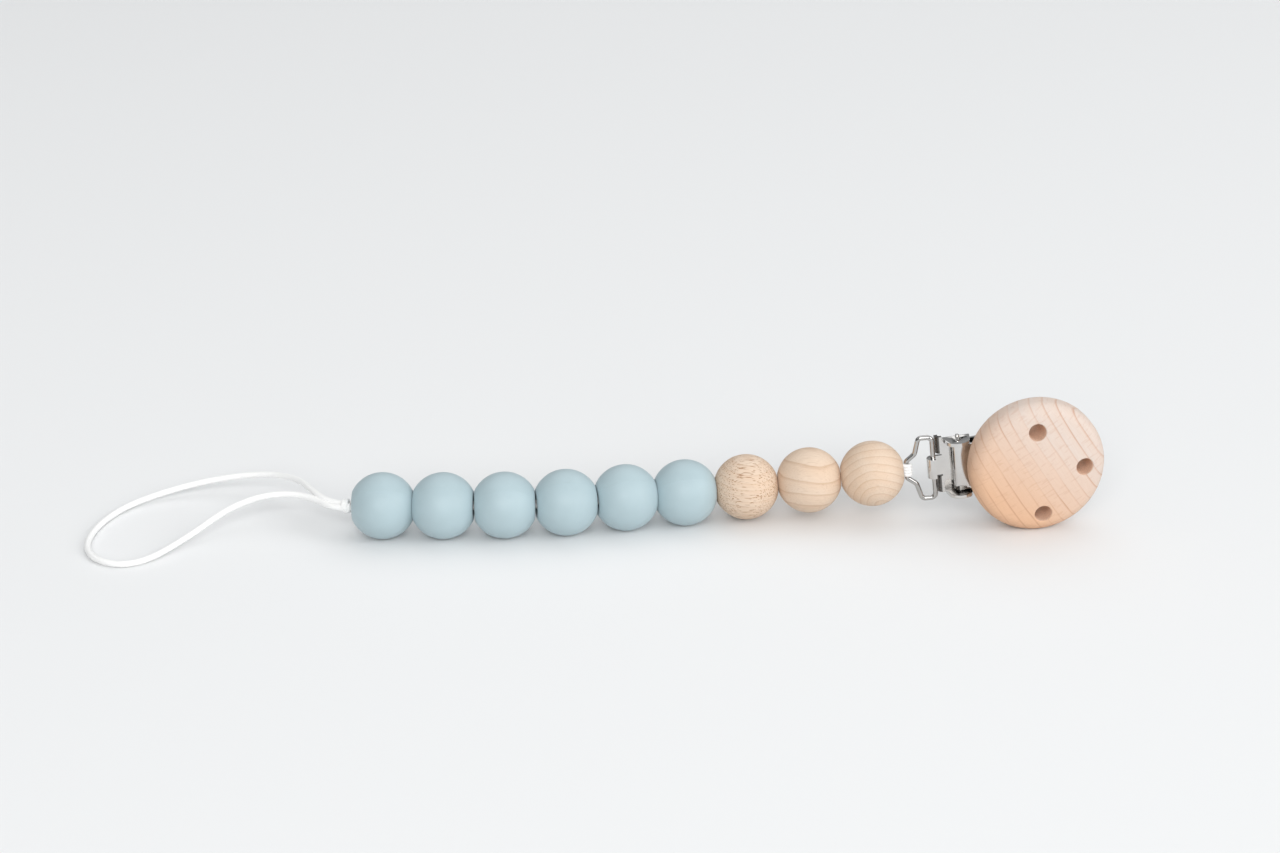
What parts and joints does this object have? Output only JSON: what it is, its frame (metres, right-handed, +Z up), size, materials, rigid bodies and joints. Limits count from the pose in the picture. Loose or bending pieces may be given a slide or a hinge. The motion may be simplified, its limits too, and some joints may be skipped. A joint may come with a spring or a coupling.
{
  "type": "pacifier clip",
  "caption": "Beaded pacifier clip: a cord loop, matte silicone and beech beads on a doubled cord, a wire bail and a sprung-lever steel clip behind a round beech disc.",
  "frame": {"origin": "on the table, under the middle of everything but the cord loop, as the strap lies", "axes": "+X along the strap towards the clip, +Y away from the disc's front, +Z up from the table"},
  "size_m": [0.2232, 0.0395, 0.03],
  "materials": {
    "silicone_blue": "matte silicone",
    "beech_bead": "sanded, unvarnished",
    "beech_disc": "sanded, unvarnished",
    "nickel_wire": "bright nickel",
    "nickel_sheet": "bright nickel",
    "white_cord": "waxed braid",
    "insert_plastic": "moulded",
    "screw_steel": "zinc plated"
  },
  "bodies": {
    "strap": {"strap_cord": "white_cord", "loop_knot": "white_cord", "cord_loop": "white_cord"},
    "silicone_bead_1": {"silicone_bead_1": "silicone_blue"},
    "silicone_bead_2": {"silicone_bead_2": "silicone_blue"},
    "silicone_bead_3": {"silicone_bead_3": "silicone_blue"},
    "silicone_bead_4": {"silicone_bead_4": "silicone_blue"},
    "silicone_bead_5": {"silicone_bead_5": "silicone_blue"},
    "silicone_bead_6": {"silicone_bead_6": "silicone_blue"},
    "wood_bead_1": {"wood_bead_1": "beech_bead"},
    "wood_bead_2": {"wood_bead_2": "beech_bead"},
    "wood_bead_3": {"wood_bead_3": "beech_bead"},
    "bail": {"wire_bail": "nickel_wire"},
    "base": {"clip_base": "nickel_sheet", "pivot_pin": "nickel_sheet", "jaw_pad": "insert_plastic"},
    "lever": {"clip_lever": "nickel_sheet", "wood_disc": "beech_disc", "disc_screws": "screw_steel"}
  },
  "joints": [
    {"name": "silicone_bead_1_spin", "type": "hinge", "parent": "strap", "child": "silicone_bead_1", "pos_m": [-0.07451, -0.00476, 0.00735], "axis": [0.9998, 0.0175, 0], "continuous": true},
    {"name": "silicone_bead_2_spin", "type": "hinge", "parent": "strap", "child": "silicone_bead_2", "pos_m": [-0.06124, -0.00476, 0.00735], "axis": [0.9998, -0.0175, 0], "continuous": true},
    {"name": "silicone_bead_3_spin", "type": "hinge", "parent": "strap", "child": "silicone_bead_3", "pos_m": [-0.04783, -0.00446, 0.00735], "axis": [0.9981, 0.061, 0], "continuous": true},
    {"name": "silicone_bead_4_spin", "type": "hinge", "parent": "strap", "child": "silicone_bead_4", "pos_m": [-0.03444, -0.003, 0.00735], "axis": [0.9877, 0.1564, 0], "continuous": true},
    {"name": "silicone_bead_5_spin", "type": "hinge", "parent": "strap", "child": "silicone_bead_5", "pos_m": [-0.0213, -0.00044, 0.00735], "axis": [0.9744, 0.225, 0], "continuous": true},
    {"name": "silicone_bead_6_spin", "type": "hinge", "parent": "strap", "child": "silicone_bead_6", "pos_m": [-0.00824, 0.00221, 0.00735], "axis": [0.9848, 0.1736, 0], "continuous": true},
    {"name": "wood_bead_1_spin", "type": "hinge", "parent": "strap", "child": "wood_bead_1", "pos_m": [0.00538, 0.00405, 0.00791], "axis": [0.9923, 0.0955, 0.0785], "continuous": true},
    {"name": "wood_bead_2_spin", "type": "hinge", "parent": "strap", "child": "wood_bead_2", "pos_m": [0.01937, 0.00485, 0.00919], "axis": [0.9944, 0.0174, 0.1045], "continuous": true},
    {"name": "wood_bead_3_spin", "type": "hinge", "parent": "strap", "child": "wood_bead_3", "pos_m": [0.0333, 0.00473, 0.01084], "axis": [0.9908, -0.0346, 0.1305], "continuous": true},
    {"name": "bail_swing", "type": "hinge", "parent": "strap", "child": "bail", "pos_m": [0.04086, 0.00446, 0.01184], "axis": [-0.1132, 0, 0.9936], "range_deg": [-45, 45]},
    {"name": "clip_swing", "type": "hinge", "parent": "bail", "child": "base", "pos_m": [0.04681, 0.00426, 0.01252], "axis": [-0.1132, 0, 0.9936], "range_deg": [-60, 40]},
    {"name": "lever_open", "type": "hinge", "parent": "base", "child": "lever", "pos_m": [0.05236, 0.00388, 0.01315], "axis": [0.1132, 0, -0.9936], "range_deg": [0, 95]}
  ]
}
